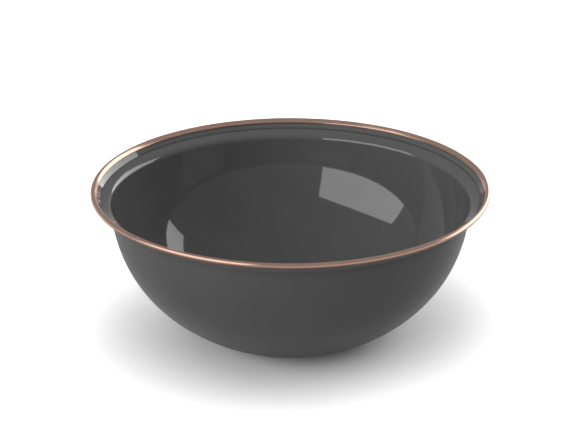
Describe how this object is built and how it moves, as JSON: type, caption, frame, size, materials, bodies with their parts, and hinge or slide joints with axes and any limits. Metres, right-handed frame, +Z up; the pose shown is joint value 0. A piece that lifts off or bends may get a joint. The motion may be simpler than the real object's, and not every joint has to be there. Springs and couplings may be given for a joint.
{
  "type": "enamel bowl",
  "caption": "Round deep bowl of enamelled pressed steel with a flared lip and a copper coloured metal band crimped over its edge, for mixing and serving food.",
  "frame": {"origin": "middle of the flat base, on the surface that the bowl stands on", "axes": "+Z up along the axis of the bowl, through the middle of its mouth; the bowl is round, so X and Y are free"},
  "size_m": [0.298, 0.298, 0.1157],
  "materials": {
    "satin_enamel": "satin",
    "gloss_enamel": "gloss",
    "ground_enamel": "satin",
    "sheet_steel": "satin",
    "copper_band": "polished"
  },
  "bodies": {
    "root": {"outer_satin_coat": "satin_enamel", "outer_ground_coat": "ground_enamel", "steel_body": "sheet_steel", "inner_ground_coat": "ground_enamel", "inner_gloss_coat": "gloss_enamel", "rim_band": "copper_band"}
  },
  "joints": []
}
